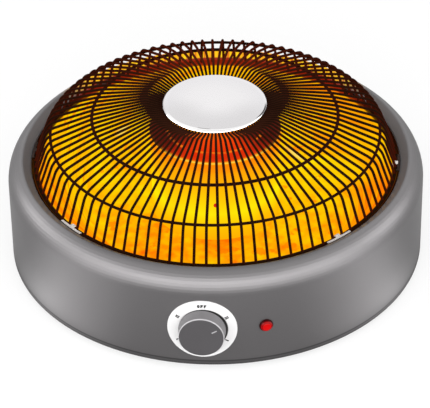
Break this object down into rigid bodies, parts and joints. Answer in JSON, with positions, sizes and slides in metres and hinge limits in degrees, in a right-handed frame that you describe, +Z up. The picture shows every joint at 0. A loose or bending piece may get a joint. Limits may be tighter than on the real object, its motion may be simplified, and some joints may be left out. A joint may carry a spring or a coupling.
{
  "type": "electric brazier",
  "caption": "Round electric brazier: a steel drum with a reflector bowl and a glowing core under a domed guard of radial wires, with a rotary knob and a pilot lamp on its front.",
  "frame": {"origin": "on the drum's axis, on the surface that the rubber feet stand on", "axes": "+Z up, -Y towards the knob at the front, +X to the right seen from the front"},
  "size_m": [0.4, 0.427, 0.1642],
  "materials": {
    "drum_paint": "satin grey metallic paint",
    "zinc_steel": "zinc plated",
    "foot_rubber": "moulded",
    "bowl_metal": "polished, lit orange by the core",
    "guard_wire": "dark brown, tinted by heat",
    "clip_steel": "bright",
    "bright_disc": "bright, slightly dulled",
    "core_glow": "glowing yellow",
    "cap_glow": "glowing red",
    "rivet_red": "heat tinted",
    "ceramic": "unglazed ceramic",
    "quartz": "clear quartz",
    "coil_wire": "red hot",
    "dial_white": "printed white",
    "dial_print": "printed black",
    "knob_plastic": "satin grey",
    "pointer_paint": "light grey inlay",
    "switch_body": "moulded, ivory",
    "phenolic": "moulded, brown",
    "brass": "plain",
    "lens_red": "clear red, lit",
    "lamp_body": "moulded, white",
    "neon_glow": "lit",
    "black_plastic": "moulded",
    "lead_tan": "silicone sleeving",
    "lead_green": "silicone sleeving"
  },
  "bodies": {
    "heater": {"drum_shell": "drum_paint", "base_plate": "zinc_steel", "base_screws": "zinc_steel", "rubber_feet": "foot_rubber", "foot_screws": "zinc_steel", "foot_nuts": "zinc_steel", "reflector_bowl": "bowl_metal", "heat_shield": "zinc_steel", "lower_spacers": "zinc_steel", "upper_spacers": "zinc_steel", "bowl_bolts": "zinc_steel", "bowl_nuts": "zinc_steel", "guard_wires": "guard_wire", "guard_rim_ring": "guard_wire", "guard_lower_ring": "guard_wire", "guard_upper_ring": "guard_wire", "guard_hub_ring": "guard_wire", "guard_clips": "clip_steel", "center_disc": "bright_disc", "disc_stud": "zinc_steel", "hub_plate": "zinc_steel", "hub_nut": "zinc_steel", "core_sleeve": "core_glow", "sleeve_rivet": "rivet_red", "core_cap": "cap_glow", "core_base": "zinc_steel", "lower_insulator": "ceramic", "upper_insulator": "ceramic", "quartz_tubes": "quartz", "element_coils": "coil_wire", "element_links": "zinc_steel", "tie_rod": "zinc_steel", "cap_nut": "zinc_steel", "tie_nut": "zinc_steel", "lead_bushes": "ceramic", "dial_plate": "dial_white", "dial_marks": "dial_print", "switch_housing": "switch_body", "switch_cover": "phenolic", "switch_terminals": "brass", "switch_bracket": "zinc_steel", "switch_screws": "zinc_steel", "deck_screws": "zinc_steel", "pilot_lens": "lens_red", "pilot_body": "lamp_body", "pilot_neon": "neon_glow", "pilot_retainer": "zinc_steel", "thermal_cutout": "phenolic", "terminal_block": "ceramic", "terminal_screws": "brass", "earth_stud": "brass", "earth_nut": "brass", "cable_gland": "black_plastic", "gland_nut": "black_plastic", "power_leads": "lead_tan", "earth_lead": "lead_green"},
    "control": {"knob": "knob_plastic", "knob_pointer": "pointer_paint", "switch_spindle": "zinc_steel", "switch_cam": "switch_body"}
  },
  "joints": [
    {"name": "knob_turn", "type": "hinge", "parent": "heater", "child": "control", "pos_m": [0, -0.2, 0.047], "axis": [0, 1, 0], "range_deg": [-180, 60]}
  ]
}
